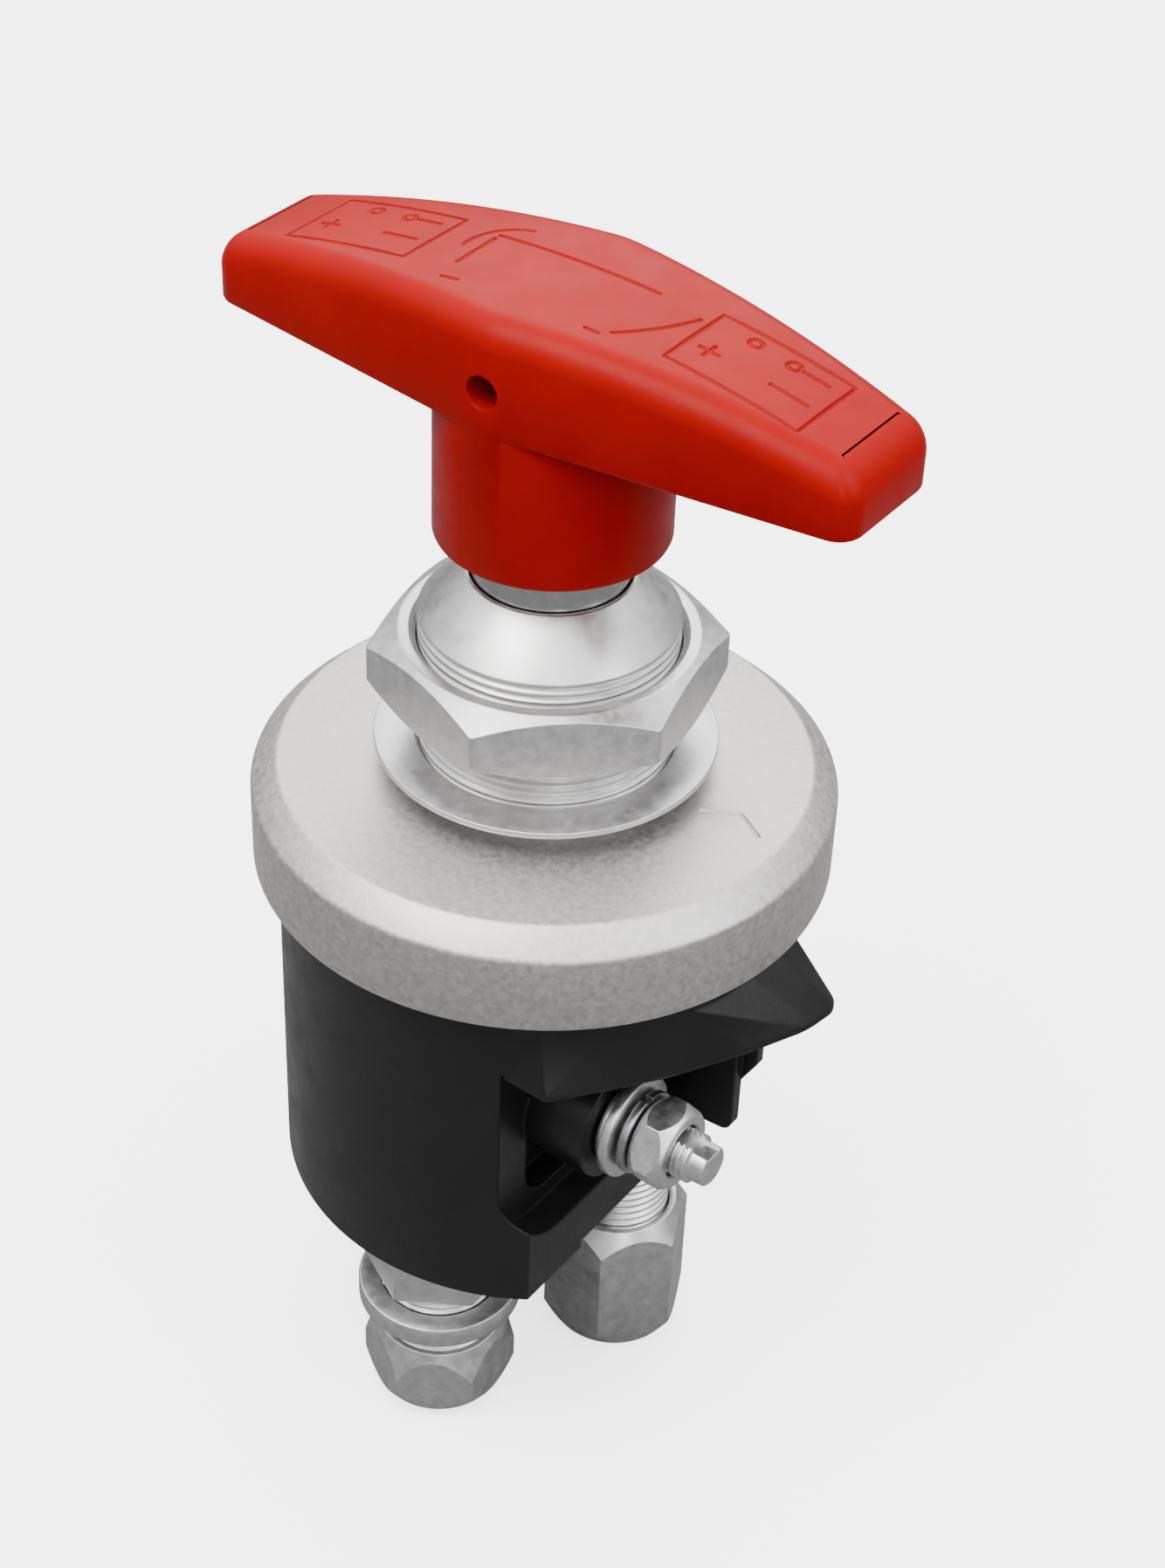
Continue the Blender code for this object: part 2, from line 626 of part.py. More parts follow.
def d_outline(radius, flat):
    """A disc outline cut by a flat towards +X and another towards +Y."""
    count = 48
    out = []
    for k in range(count):
        angle = 2 * math.pi * k / count
        out.append((min(radius * math.cos(angle), flat), min(radius * math.sin(angle), flat)))
    clean = []
    for point in out:
        if not clean or (Vector(point) - Vector(clean[-1])).length > 0.05:
            clean.append(point)
    return clean


SCREW_XY = ((-16.0, -27.0), (-27.0, -16.0), (-27.5, 12.0), (16.0, -27.0))


def make_body():
    body = rod("body", BODY_R, BODY_BOTTOM, -GAP / MM, 48)
    terminal_side(body)
    combine(body, rod("chamber", CAVITY_R + 0.2, CAVITY_FLOOR, 1.0, 28), "DIFFERENCE")
    pocket = box("channel", (-3.2, -24.4, -36.0), (11.4, -9.8, -12.0))
    combine(body, mirrored(pocket, "channel_b"), "DIFFERENCE")
    combine(body, pocket, "DIFFERENCE")
    bore = rod("stud_bore", STUD_R + 0.3, 8.0, 31.0, 20, "X", (0.0, STUD_Y, STUD_Z))
    combine(body, mirrored(bore, "stud_bore_b"), "DIFFERENCE")
    combine(body, bore, "DIFFERENCE")
    groove = tube("gasket_groove", 39.5, 36.5, -2.3, 1.0, 40)
    combine(body, groove, "DIFFERENCE")
    seat = prism_from_outline("base_seat", d_outline(36.3, 22.3), BODY_BOTTOM - 1.0, -54.0)
    combine(body, seat, "DIFFERENCE")
    wiring = prism_from_outline("wiring", d_outline(25.0, 16.0), -54.5, -48.5)
    wiring.data.transform(Matrix.Translation((-2 * MM, -4 * MM, 0)))
    combine(body, wiring, "DIFFERENCE")
    for x, y in SCREW_XY:
        combine(body, rod("screw_hole", 1.5, -55.0, -47.5, 10, at=(x, y, 0.0)), "DIFFERENCE")
    notch = box("notch", (20.0, -19.4, BODY_BOTTOM - 1.0), (30.0, 19.4, BODY_BOTTOM + 1.4))
    combine(body, mirrored(notch, "notch_b"), "DIFFERENCE")
    combine(body, notch, "DIFFERENCE")
    finish(body, "body_housing", "black_plastic")


def make_base():
    base = prism_from_outline("base", d_outline(36.0, 22.0), BODY_BOTTOM + 0.3, -54.3)
    combine(base, rod("gland_hole", 8.3, -62.0, -53.0, 24, at=(*GLAND_XY, 0.0)), "DIFFERENCE")
    combine(base, rod("outlet_hole", 6.2, -62.0, -53.0, 24, at=(*OUTLET_XY, 0.0)), "DIFFERENCE")
    for index, (x, y) in enumerate(SCREW_XY, 1):
        hole = turned("screw_seat", [(0.0, -53.0), (1.8, -53.0), (1.8, -57.0), (3.3, -57.0),
                                     (3.3, -62.0), (0.0, -62.0)], 12, at=(x, y, 0.0), closed=False)
        combine(base, hole, "DIFFERENCE")
        screw = turned("screw", [(0.0, -48.0), (1.2, -48.0), (1.2, -57.3), (2.9, -57.3),
                                 (2.9, -59.6), (0.0, -59.6)], 12, at=(x, y, 0.0), closed=False)
        drive = hexagon("drive", 2.5, -60.5, -58.4, at=(x, y, 0.0), barrel_steps=12)
        combine(screw, drive, "DIFFERENCE")
        finish(screw, "base_screw_%d" % index, "zinc_steel")
    finish(base, "base_plate", "black_plastic")


# ---------------------------------------------------------------- bottom fittings
def make_gland():
    at = (*GLAND_XY, 0.0)
    body = turned("stem", [(0.0, -54.1), (8.0, -54.1), (8.0, -60.6), (9.4, -60.6), (9.4, -86.0),
                           (0.0, -86.0)], 24, at=at, closed=False)
    combine(body, hexagon("collar", 22.0, -72.0, -60.4, -28.0, bottom=(12.5, 0.1), at=at), "UNION")
    combine(body, rod("core", 6.2, -90.0, -45.0, 24, at=at), "DIFFERENCE")
    finish(body, "gland_body", "zinc_steel")
    finish(tube("ring", 13.5, 9.7, -79.8, -75.8, 32, at=at), "gland_ring", "zinc_steel")
    cap = hexagon("cap", 22.0, GLAND_BOTTOM, -85.0, -27.0, top=(10.4, 6.2), bottom=(10.4, 3.6),
                  at=at, barrel_steps=32)
    inside = turned("cap_bore", [(0.0, -84.0), (9.7, -84.0), (9.7, -96.0), (6.0, -96.0),
                                 (6.0, -100.0), (0.0, -100.0)], 24, at=at, closed=False)
    combine(cap, inside, "DIFFERENCE")
    finish(cap, "gland_cap_nut", "zinc_steel", GLAND_XY + (0.0,))
    seal = tube("seal", 9.3, 3.5, -95.6, -86.3, 24, at=at)
    finish(seal, "gland_seal", "rubber")


def make_outlet():
    at = (*OUTLET_XY, 0.0)
    nipple = turned("nipple", [(4.4, -54.1), (5.9, -54.1), (5.9, -60.4), (8.5, -60.4),
                               (8.5, -82.0), (4.4, -82.0)], 24, at=at)
    finish(nipple, "outlet_nipple", "zinc_steel")
    nut = hexagon("nut", 22.0, OUTLET_BOTTOM, -73.0, -67.0, top=(9.9, 4.4), bottom=(10.7, 3.4),
                  at=at, barrel_steps=32)
    inside = turned("nut_bore", [(0.0, -72.0), (8.8, -72.0), (8.8, -101.0), (0.0, -101.0)], 24,
                    at=at, closed=False)
    combine(nut, inside, "DIFFERENCE")
    finish(nut, "coupling_nut", "zinc_steel", OUTLET_XY + (0.0,))


clear_scene()
PARTS = collection("battery_isolator_switch")
WORK = collection("cutters")
make_handle()
make_spindle()
make_cover()
make_bushing()
make_panel_hardware()
make_seals()
make_cam()
make_contacts()
make_terminal()
make_body()
make_base()
make_gland()
make_outlet()
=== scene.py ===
import json
import math

import bmesh
import bpy
from mathutils import Matrix, Vector


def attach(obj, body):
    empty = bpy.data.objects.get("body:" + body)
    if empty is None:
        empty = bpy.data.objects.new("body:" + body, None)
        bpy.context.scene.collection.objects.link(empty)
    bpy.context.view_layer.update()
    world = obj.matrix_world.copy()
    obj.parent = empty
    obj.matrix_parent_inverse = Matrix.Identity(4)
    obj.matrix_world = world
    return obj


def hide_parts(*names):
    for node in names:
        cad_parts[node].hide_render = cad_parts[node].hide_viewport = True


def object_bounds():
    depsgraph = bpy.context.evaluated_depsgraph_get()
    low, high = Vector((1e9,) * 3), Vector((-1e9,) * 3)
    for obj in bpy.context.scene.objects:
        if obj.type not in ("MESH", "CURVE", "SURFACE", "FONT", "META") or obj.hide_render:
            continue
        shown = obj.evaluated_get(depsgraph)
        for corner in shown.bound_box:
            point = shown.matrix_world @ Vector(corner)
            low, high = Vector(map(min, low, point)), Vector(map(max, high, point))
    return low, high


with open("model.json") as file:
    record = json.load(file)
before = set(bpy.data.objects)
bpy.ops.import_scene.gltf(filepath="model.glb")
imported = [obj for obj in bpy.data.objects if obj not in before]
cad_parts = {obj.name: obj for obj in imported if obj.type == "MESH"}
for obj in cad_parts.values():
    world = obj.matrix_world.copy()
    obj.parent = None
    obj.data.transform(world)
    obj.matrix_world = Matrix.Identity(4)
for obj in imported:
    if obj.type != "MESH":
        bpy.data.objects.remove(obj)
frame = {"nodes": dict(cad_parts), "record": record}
cad_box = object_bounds()

MM = 0.001
DATUM = 16.7                        # the seating face's height above the body joint

FLANGE_R = 45.0
THREAD_R = 19.6
NECK_R = 11.85
NUT_Z = (28.9, 39.9)
HUB_R = 17.5
HUB_BOTTOM = 57.3
GRIP_BOTTOM = 80.3
GRIP_TOP = 97.65
GRIP_HALF_LENGTH = 54.05
GRIP_MID_R = 17.67
GRIP_TAPER = math.radians(7.655)
GRIP_CROWN_R = 192.0
GRIP_EDGE_R = 4.4
GRIP_CORNER_R = 4.0
PIN_Z = 86.9
BODY_R = 41.2
BODY_BOTTOM = -60.3
FLAT_X = 23.7
RECESS_X = 18.45
RECESS_Y = (-36.3, -1.8)
RECESS_Z = (-49.5, -12.6)
RECESS_CORNER_R = 10.8
HOOD_RIM = (-13.8, -12.6)
HOOD_ROOF_Z = -3.5
STUD_Y = -18.9
STUD_Z = -28.8
STUD_R = 4.0
STUD_TIP = 46.6
GLAND_XY = (0.0, -25.7)
OUTLET_XY = (14.4, 5.1)
GLAND_BOTTOM = -98.6
OUTLET_BOTTOM = -99.5
SCREW_XY = ((-16.0, -27.0), (-27.0, -16.0), (-27.5, 12.0), (16.0, -27.0))


# ---------------------------------------------------------------- shape helpers
def link(obj):
    bpy.context.scene.collection.objects.link(obj)
    return obj


def evaluated_copy(obj):
    graph = bpy.context.evaluated_depsgraph_get()
    graph.update()
    mesh = bpy.data.meshes.new_from_object(obj.evaluated_get(graph))
    mesh.transform(obj.matrix_world)
    return mesh


def weld(mesh, distance=2e-6):
    bm = bmesh.new()
    bm.from_mesh(mesh)
    bmesh.ops.remove_doubles(bm, verts=bm.verts, dist=distance)
    bmesh.ops.dissolve_degenerate(bm, edges=bm.edges, dist=distance)
    bmesh.ops.recalc_face_normals(bm, faces=bm.faces)
    bm.to_mesh(mesh)
    bm.free()


def as_mesh(obj, name):
    bpy.context.view_layer.update()
    mesh = evaluated_copy(obj)
    weld(mesh)
    made = link(bpy.data.objects.new(name, mesh))
    bpy.data.objects.remove(obj, do_unlink=True)
    return made


def turn_axis(mesh, axis, at):
    if axis == "X":
        mesh.transform(Matrix.Rotation(math.radians(90), 4, "Y"))
    elif axis == "Y":
        mesh.transform(Matrix.Rotation(math.radians(-90), 4, "X"))
    mesh.transform(Matrix.Translation(Vector(at) * MM))


def turned(name, profile, steps=128, axis="Z", at=(0.0, 0.0, 0.0), closed=True):
    points = [(r * MM, 0.0, z * MM) for r, z in profile]
    edges = [(i, i + 1) for i in range(len(points) - 1)]
    if closed:
        edges.append((len(points) - 1, 0))
    mesh = bpy.data.meshes.new(name)
    mesh.from_pydata(points, edges, [])
    obj = link(bpy.data.objects.new(name, mesh))
    screw = obj.modifiers.new("turn", "SCREW")
    screw.steps = steps
    screw.render_steps = steps
    screw.use_merge_vertices = True
    screw.merge_threshold = 0.00001
    screw.use_normal_calculate = True
    made = as_mesh(obj, name)
    turn_axis(made.data, axis, at)
    return made


def tube(name, r_out, r_in, z0, z1, steps=96, axis="Z", at=(0.0, 0.0, 0.0), ease=0.0):
    if ease:
        e = ease
        profile = [(r_out - e, z1), (r_out - e * 0.3, z1 - e * 0.3), (r_out, z1 - e),
                   (r_out, z0 + e), (r_out - e * 0.3, z0 + e * 0.3), (r_out - e, z0),
                   (r_in + e, z0), (r_in, z0 + e), (r_in, z1 - e), (r_in + e, z1)]
    else:
        profile = [(r_out, z1), (r_out, z0), (r_in, z0), (r_in, z1)]
    return turned(name, profile, steps, axis, at)


def rod(name, r, z0, z1, steps=96, axis="Z", at=(0.0, 0.0, 0.0)):
    return turned(name, [(0.0, z1), (r, z1), (r, z0), (0.0, z0)], steps, axis, at, closed=False)


def box(name, low, high):
    bpy.ops.mesh.primitive_cube_add(size=1.0)
    obj = bpy.context.active_object
    obj.name = name
    size = [(b - a) * MM for a, b in zip(low, high)]
    mid = [(a + b) / 2 * MM for a, b in zip(low, high)]
    obj.data.transform(Matrix.Translation(mid) @ Matrix.Diagonal((*size, 1.0)))
    return obj


def combine(target, tool, operation):
    boolean = target.modifiers.new("combine", "BOOLEAN")
    boolean.object = tool
    boolean.operation = operation
    boolean.solver = "EXACT"
    bpy.context.view_layer.update()
    mesh = evaluated_copy(target)
    weld(mesh)
    target.modifiers.clear()
    target.data = mesh
    bpy.data.objects.remove(tool, do_unlink=True)
    return target


def cut(target, *tools):
    for tool in tools:
        combine(target, tool, "DIFFERENCE")
    return target


def bevel(obj, width, segments=2, angle=30.0):
    made = obj.modifiers.new("ease", "BEVEL")
    made.width = width * MM
    made.segments = segments
    made.limit_method = "ANGLE"
    made.angle_limit = math.radians(angle)
    made.use_clamp_overlap = True
    made.miter_outer = "MITER_ARC"
    bpy.context.view_layer.update()
    mesh = evaluated_copy(obj)
    obj.modifiers.clear()
    obj.data = mesh
    return obj


def hexagon(name, flats, z0, z1, turn_deg=0.0, top=None, bottom=None, axis="Z",
            at=(0.0, 0.0, 0.0), ease=0.25):
    """A hex prism with a corner at turn_deg; each end is coned from a radius, by a drop
    at the corners."""
    corner_r = flats / math.sqrt(3.0)
    depth = (z1 - z0 + 2.0) * MM
    bpy.ops.mesh.primitive_cylinder_add(vertices=6, radius=corner_r * MM, depth=depth)
    prism = bpy.context.active_object
    prism.name = name
    spin = Matrix.Rotation(math.radians(turn_deg - 90.0), 4, "Z")
    prism.data.transform(Matrix.Translation((0, 0, (z0 + z1) / 2 * MM)) @ spin)
    if ease:
        bevel(prism, ease, 6, 40.0)
    plain = (flats / 2 * 0.955, (corner_r - flats / 2 * 0.955) * 0.577)
    top_r, top_drop = top or plain
    low_r, low_drop = bottom or plain
    rim = corner_r + 0.5
    profile = [(0.0, z1), (top_r - 0.35, z1), (top_r, z1 - 0.08),
               (rim, z1 - top_drop * (rim - top_r) / (corner_r - top_r)),
               (rim, z0 + low_drop * (rim - low_r) / (corner_r - low_r)),
               (low_r, z0 + 0.08), (low_r - 0.35, z0), (0.0, z0)]
    combine(prism, turned(name + "_barrel", profile, 144, closed=False), "INTERSECT")
    turn_axis(prism.data, axis, at)
    return prism


def prism_from_outline(name, outline, low, high, plane="XY"):
    curve = bpy.data.curves.new(name, "CURVE")
    curve.dimensions = "2D"
    curve.fill_mode = "BOTH"
    curve.extrude = (high - low) / 2 * MM
    spline = curve.splines.new("POLY")
    spline.points.add(len(outline) - 1)
    for point, (u, v) in zip(spline.points, outline):
        point.co = (u * MM, v * MM, 0.0, 1.0)
    spline.use_cyclic_u = True
    made = as_mesh(link(bpy.data.objects.new(name, curve)), name)
    middle = (low + high) / 2 * MM
    if plane == "XY":
        made.data.transform(Matrix.Translation((0, 0, middle)))
    elif plane == "XZ":
        made.data.transform(Matrix.Rotation(math.radians(90), 4, "X"))
        made.data.transform(Matrix.Translation((0, middle, 0)))
    elif plane == "YZ":
        made.data.transform(Matrix(((0, 0, 1, 0), (1, 0, 0, 0), (0, 1, 0, 0), (0, 0, 0, 1))))
        made.data.transform(Matrix.Translation((middle, 0, 0)))
    return made


def rounded_outline(corners, arc_steps=12):
    out = []
    count = len(corners)
    for i, (u, v, radius) in enumerate(corners):
        here = Vector((u, v))
        if radius <= 0.0:
            out.append((u, v))
            continue
        before = (Vector(corners[i - 1][:2]) - here).normalized()
        after = (Vector(corners[(i + 1) % count][:2]) - here).normalized()
        half = before.angle(after) / 2
        reach = radius / math.tan(half)
        centre = here + (before + after).normalized() * (radius / math.sin(half))
        first = here + before * reach - centre
        last = here + after * reach - centre
        sweep = first.angle_signed(last)
        for k in range(arc_steps + 1):
            spoke = first.copy()
            spoke.rotate(Matrix.Rotation(-sweep * k / arc_steps, 2))
            out.append(tuple(centre + spoke))
    return out


def hull_of(name, points):
    bm = bmesh.new()
    for point in points:
        bm.verts.new(Vector(point) * MM)
    result = bmesh.ops.convex_hull(bm, input=bm.verts)
    loose = [e for e in result["geom_interior"] if isinstance(e, bmesh.types.BMVert)]
    bmesh.ops.delete(bm, geom=loose, context="VERTS")
    mesh = bpy.data.meshes.new(name)
    bm.to_mesh(mesh)
    bm.free()
    return link(bpy.data.objects.new(name, mesh))


def mirrored(obj, name):
    mesh = obj.data.copy()
    mesh.transform(Matrix(((0, 1, 0, 0), (1, 0, 0, 0), (0, 0, 1, 0), (0, 0, 0, 1))))
    mesh.flip_normals()
    return link(bpy.data.objects.new(name, mesh))


def thread_profile(r, z_top, z_bottom, pitch, depth):
    """Outer side of a screw thread from top to bottom, as rings of the pitch."""
    out = []
    count = max(1, int((z_top - z_bottom) / pitch))
    start = z_top - ((z_top - z_bottom) - count * pitch) / 2
    out.append((r, z_top))
    for k in range(count):
        z = start - k * pitch
        out += [(r, z - pitch * 0.14), (r - depth, z - pitch * 0.46),
                (r - depth, z - pitch * 0.56), (r, z - pitch * 0.88)]
    out.append((r, z_bottom))
    return out


def wire(name, points, radius, cyclic=False):
    """A round wire through points, for grooves cut into a surface."""
    curve = bpy.data.curves.new(name, "CURVE")
    curve.dimensions = "3D"
    curve.bevel_depth = radius * MM
    curve.bevel_resolution = 3
    curve.use_fill_caps = True
    spline = curve.splines.new("POLY")
    spline.points.add(len(points) - 1)
    for point, (x, y, z) in zip(spline.points, points):
        point.co = (x * MM, y * MM, z * MM, 1.0)
    spline.use_cyclic_u = cyclic
    return as_mesh(link(bpy.data.objects.new(name, curve)), name)


# ---------------------------------------------------------------- materials
def nodes_of(name):
    mat = bpy.data.materials.new(name)
    mat.use_nodes = True
    tree = mat.node_tree
    shader = tree.nodes["Principled BSDF"]
    return mat, tree, shader


def noise(tree, coord, scale, detail=4.0, rough=0.55):
    node = tree.nodes.new("ShaderNodeTexNoise")
    node.inputs["Scale"].default_value = scale
    node.inputs["Detail"].default_value = detail
    node.inputs["Roughness"].default_value = rough
    tree.links.new(coord, node.inputs["Vector"])
    return node.outputs["Fac"]


def ramp(tree, value, stops):
    node = tree.nodes.new("ShaderNodeValToRGB")
    elements = node.color_ramp.elements
    elements[0].position = stops[0][0]
    elements[0].color = (*stops[0][1], 1.0)
    elements[1].position = stops[-1][0]
    elements[1].color = (*stops[-1][1], 1.0)
    for position, colour in stops[1:-1]:
        made = elements.new(position)
        made.color = (*colour, 1.0)
    tree.links.new(value, node.inputs["Fac"])
    return node.outputs["Color"]


def spread(tree, value, low, high):
    node = tree.nodes.new("ShaderNodeMapRange")
    node.inputs["From Min"].default_value = 0.3
    node.inputs["From Max"].default_value = 0.7
    node.inputs["To Min"].default_value = low
    node.inputs["To Max"].default_value = high
    tree.links.new(value, node.inputs["Value"])
    return node.outputs["Result"]


def bump(tree, value, shader, strength, distance, below=None):
    node = tree.nodes.new("ShaderNodeBump")
    node.inputs["Strength"].default_value = strength
    node.inputs["Distance"].default_value = distance
    tree.links.new(value, node.inputs["Height"])
    if below is not None:
        tree.links.new(below, node.inputs["Normal"])
    tree.links.new(node.outputs["Normal"], shader.inputs["Normal"])
    return node.outputs["Normal"]


def object_coord(tree, stretch=(1.0, 1.0, 1.0)):
    coord = tree.nodes.new("ShaderNodeTexCoord")
    mapping = tree.nodes.new("ShaderNodeMapping")
    mapping.inputs["Scale"].default_value = stretch
    tree.links.new(coord.outputs["Object"], mapping.inputs["Vector"])
    return mapping.outputs["Vector"]


def soft_edges(tree, radius):
    """Catches light along sharp edges as a small moulding or machining radius does."""
    node = tree.nodes.new("ShaderNodeBevel")
    node.samples = 6
    node.inputs["Radius"].default_value = radius * MM
    return node.outputs["Normal"]


def plastic(name, dark, light, rough, grain_scale, grain, specular=0.5, edge=0.45):
    """Moulded plastic: slight colour drift, uneven satin and a fine spark-eroded grain."""
    mat, tree, shader = nodes_of(name)
    where = object_coord(tree)
    shader.inputs["Specular IOR Level"].default_value = specular
    drift = noise(tree, where, 45.0, 5.0, 0.6)
    tree.links.new(ramp(tree, drift, [(0.30, dark), (0.70, light)]), shader.inputs["Base Color"])
    satin = noise(tree, where, 160.0, 3.0, 0.5)
    tree.links.new(spread(tree, satin, rough - 0.05, rough + 0.06), shader.inputs["Roughness"])
    coarse = noise(tree, where, grain_scale * 0.25, 2.0, 0.5)
    first = bump(tree, coarse, shader, grain * 0.5, 0.0002, soft_edges(tree, edge))
    fine = noise(tree, where, grain_scale, 2.0, 0.6)
    bump(tree, fine, shader, grain, 0.00008, first)
    return mat


def metal(name, dark, light, rough, mottle_scale, stretch=(1.0, 1.0, 1.0), grain=0.25):
    """Machined or plated metal: mottled tone, fine tool grain and uneven polish."""
    mat, tree, shader = nodes_of(name)
    shader.inputs["Metallic"].default_value = 1.0
    where = object_coord(tree)
    tone = noise(tree, where, mottle_scale, 6.0, 0.65)
    tree.links.new(ramp(tree, tone, [(0.32, dark), (0.68, light)]), shader.inputs["Base Color"])
    lines = noise(tree, object_coord(tree, stretch), 900.0, 3.0, 0.6)
    tree.links.new(spread(tree, tone, rough - 0.06, rough + 0.07), shader.inputs["Roughness"])
    first = bump(tree, lines, shader, grain, 0.00004, soft_edges(tree, 0.25))
    bump(tree, noise(tree, where, 1800.0, 2.0, 0.5), shader, grain * 0.7, 0.00003, first)
    return mat


RED = plastic("moulded_red", (0.19, 0.0006, 0.0007), (0.24, 0.0010, 0.0010), 0.34,
              2600.0, 0.10, 0.06)
BLACK = plastic("moulded_black", (0.0040, 0.0040, 0.0044), (0.0065, 0.0065, 0.0070), 0.34,
                2200.0, 0.20, 0.22, 0.7)
GREY = plastic("moulded_grey", (0.24, 0.25, 0.26), (0.32, 0.33, 0.34), 0.50, 2000.0, 0.18)
RUBBER = plastic("black_rubber", (0.008, 0.008, 0.008), (0.018, 0.018, 0.018), 0.72,
                 1500.0, 0.30, 0.2)
CAST = metal("satin_cover_steel", (0.40, 0.385, 0.375), (0.54, 0.525, 0.51), 0.48, 900.0,
             grain=0.55)
TURNED = metal("turned_steel", (0.46, 0.455, 0.45), (0.58, 0.57, 0.56), 0.36, 300.0,
               (0.12, 0.12, 3.0), 0.30)
SHINY = metal("ground_steel", (0.30, 0.30, 0.305), (0.42, 0.415, 0.41), 0.26, 200.0,
              (0.1, 0.1, 4.0), 0.25)
ZINC = metal("zinc_plate", (0.46, 0.455, 0.455), (0.60, 0.595, 0.595), 0.38, 500.0, grain=0.35)
DARK = metal("spring_steel", (0.22, 0.22, 0.23), (0.34, 0.34, 0.35), 0.36, 220.0, grain=0.30)
COPPER = metal("copper_alloy", (0.55, 0.24, 0.13), (0.74, 0.36, 0.22), 0.32, 150.0, grain=0.35)


def finish(obj, name, mat, slot, body, *stands_for, crease=35):
    obj.name = name
    obj.data.name = name
    obj.data.transform(Matrix.Translation((0.0, 0.0, -DATUM * MM)))
    obj.data.materials.clear()
    obj.data.materials.append(mat)
    obj.data.shade_smooth()
    obj.data.set_sharp_from_angle(angle=math.radians(crease))
    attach(obj, body)
    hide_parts(*stands_for)
    return obj


# ---------------------------------------------------------------- handle
def grip_height(x):
    return GRIP_TOP - GRIP_CROWN_R + math.sqrt(GRIP_CROWN_R ** 2 - x * x)


def grip_outline():
    end_half = GRIP_MID_R / math.cos(GRIP_TAPER) - GRIP_HALF_LENGTH * math.tan(GRIP_TAPER)
    corner = rounded_outline([(GRIP_HALF_LENGTH, 0.0, 0.0),
                              (GRIP_HALF_LENGTH, end_half, GRIP_CORNER_R),
                              (0.0, GRIP_MID_R / math.cos(GRIP_TAPER), 0.0)], 10)[1:-1]
    side = []
    tangent = GRIP_MID_R * math.sin(GRIP_TAPER)
    start = corner[-1][0]
    runs = 24
    for k in range(1, runs):
        x = start + (tangent - start) * k / runs
        side.append((x, (GRIP_MID_R - x * math.sin(GRIP_TAPER)) / math.cos(GRIP_TAPER)))
    middle = []
    for k in range(-4, 5):
        angle = GRIP_TAPER * k / 4
        middle.append((-GRIP_MID_R * math.sin(angle), GRIP_MID_R * math.cos(angle)))
    right = corner + side
    left = [(-x, y) for x, y in reversed(right)]
    return right + middle + left


def inset(points, distance):
    full = points + [(x, -y) for x, y in reversed(points)]
    count = len(full)
    out = []
    for i in range(len(points)):
        here = Vector(full[i])
        before = (here - Vector(full[i - 1])).normalized()
        after = (Vector(full[(i + 1) % count]) - here).normalized()
        normal = Vector((-(before.y + after.y), before.x + after.x)).normalized()
        stretch = 1.0 / max(0.5, normal.dot(Vector((-before.y, before.x))))
        out.append(tuple(here + normal * distance * stretch))
    return out


def make_grip():
    half = grip_outline()
    count = len(half)
    levels = [(0.6, "low"), (0.18, "low"), (0.0, "base")]
    arc_steps = 10
    for k in range(arc_steps + 1):
        angle = math.radians(90.0) * k / arc_steps
        levels.append((GRIP_EDGE_R * (1 - math.cos(angle)), GRIP_EDGE_R * (1 - math.sin(angle))))
    bm = bmesh.new()
    loops = []
    for step, (offset, drop) in enumerate(levels):
        ring = inset(half, offset)
        ring = ring + [(x, -y) for x, y in reversed(ring)]
        loop = []
        for x, y in ring:
            if drop == "low":
                z = GRIP_BOTTOM + (0.0 if step == 0 else 0.18)
            elif drop == "base":
                z = GRIP_BOTTOM + 0.6
            else:
                z = grip_height(x) - drop
            loop.append(bm.verts.new((x * MM, y * MM, z * MM)))
        loops.append(loop)
    for lower, upper in zip(loops, loops[1:]):
        for i in range(2 * count):
            j = (i + 1) % (2 * count)
            bm.faces.new((lower[i], lower[j], upper[j], upper[i]))
    for loop in (loops[0], loops[-1]):
        for i in range(count - 1):
            bm.faces.new((loop[i], loop[i + 1], loop[2 * count - 2 - i], loop[2 * count - 1 - i]))
    bmesh.ops.recalc_face_normals(bm, faces=bm.faces)
    mesh = bpy.data.meshes.new("grip")
    bm.to_mesh(mesh)
    bm.free()
    return link(bpy.data.objects.new("grip", mesh))


def on_crown(points, lift=0.0):
    """Lift plan points onto the arched top, with enough of them to follow the arch."""
    out = []
    for (x0, y0), (x1, y1) in zip(points, points[1:]):
        runs = max(1, int(math.hypot(x1 - x0, y1 - y0) / 4.0))
        for k in range(runs):
            t = k / runs
            x, y = x0 + (x1 - x0) * t, y0 + (y1 - y0) * t
            out.append((x, y, grip_height(x) + lift))
    x, y = points[-1]
    out.append((x, y, grip_height(x) + lift))
    return out


